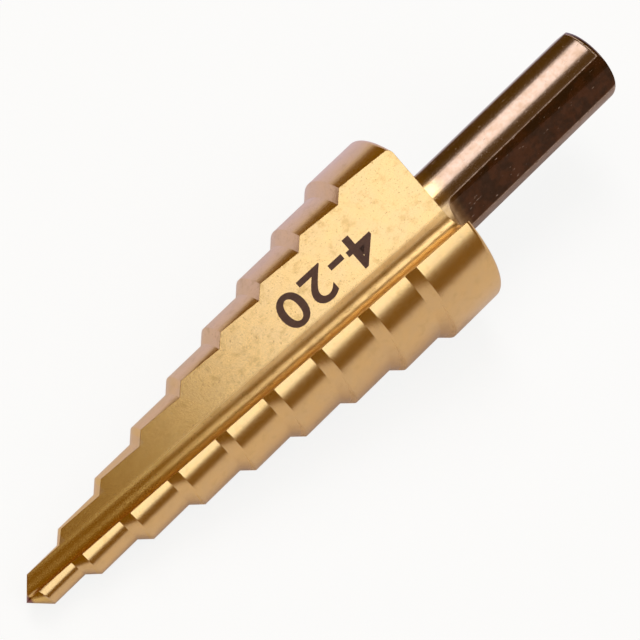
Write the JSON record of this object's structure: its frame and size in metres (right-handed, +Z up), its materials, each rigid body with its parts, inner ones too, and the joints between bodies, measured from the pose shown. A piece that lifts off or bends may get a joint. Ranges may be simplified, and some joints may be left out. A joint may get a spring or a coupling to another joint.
{
  "type": "step drill",
  "caption": "Stepped cone drill for opening out holes in sheet metal, with straight flutes and a round shank with flats for a drill chuck.",
  "frame": {"origin": "on the floor, under the middle of the box round the drill as it lies", "axes": "+X from the point towards the shank, with the drill's axis rising 8.3 degrees that way; +Z up; +Y to the left when looking along +X"},
  "size_m": [0.0736, 0.0198, 0.0178],
  "materials": {
    "step_drill": "ground high-speed steel with a gold titanium-nitride coat on the steps; the shank is dark bronze brown"
  },
  "bodies": {
    "root": {"step_drill": "step_drill"}
  },
  "joints": []
}
